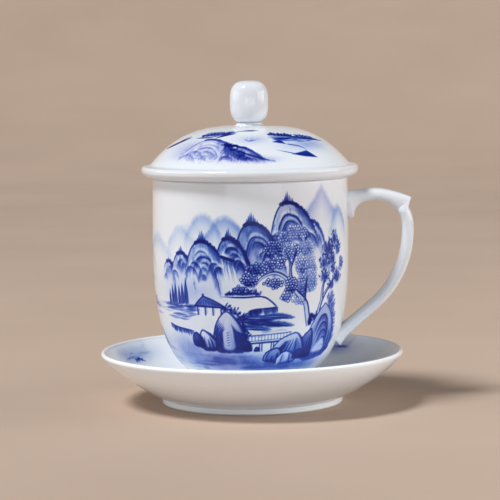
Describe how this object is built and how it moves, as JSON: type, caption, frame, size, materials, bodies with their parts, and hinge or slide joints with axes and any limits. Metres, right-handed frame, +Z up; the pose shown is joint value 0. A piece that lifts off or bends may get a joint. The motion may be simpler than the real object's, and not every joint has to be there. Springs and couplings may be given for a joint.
{
  "type": "lidded teacup with saucer",
  "caption": "Porcelain teacup with a strap handle, a domed lid with a round knob and a deep footed saucer, painted in blue.",
  "frame": {"origin": "on the saucer's axis, in the plane that its foot ring rests on", "axes": "+Z up along the axis of saucer, cup and lid; +X towards the cup's handle; the painted front faces -Y"},
  "size_m": [0.138, 0.1328, 0.1415],
  "materials": {
    "porcelain": "glossy clear glaze over white porcelain, hand-painted in cobalt blue",
    "painted_porcelain": "glossy clear glaze over a cobalt landscape painting",
    "biscuit": "unglazed, finely sanded foot"
  },
  "bodies": {
    "saucer": {"saucer_dish": "porcelain", "saucer_foot_ring": "biscuit"},
    "cup": {"cup_body": "painted_porcelain", "cup_foot_ring": "biscuit", "cup_handle": "porcelain"},
    "lid": {"lid_dome": "painted_porcelain", "lid_collar": "porcelain", "lid_knob": "porcelain"}
  },
  "joints": [
    {"name": "cup_lift", "type": "slide", "parent": "saucer", "child": "cup", "axis": [0, 0, 1], "range_m": [0, 0.03]},
    {"name": "lid_lift", "type": "slide", "parent": "cup", "child": "lid", "axis": [0, 0, 1], "range_m": [0, 0.03]}
  ]
}
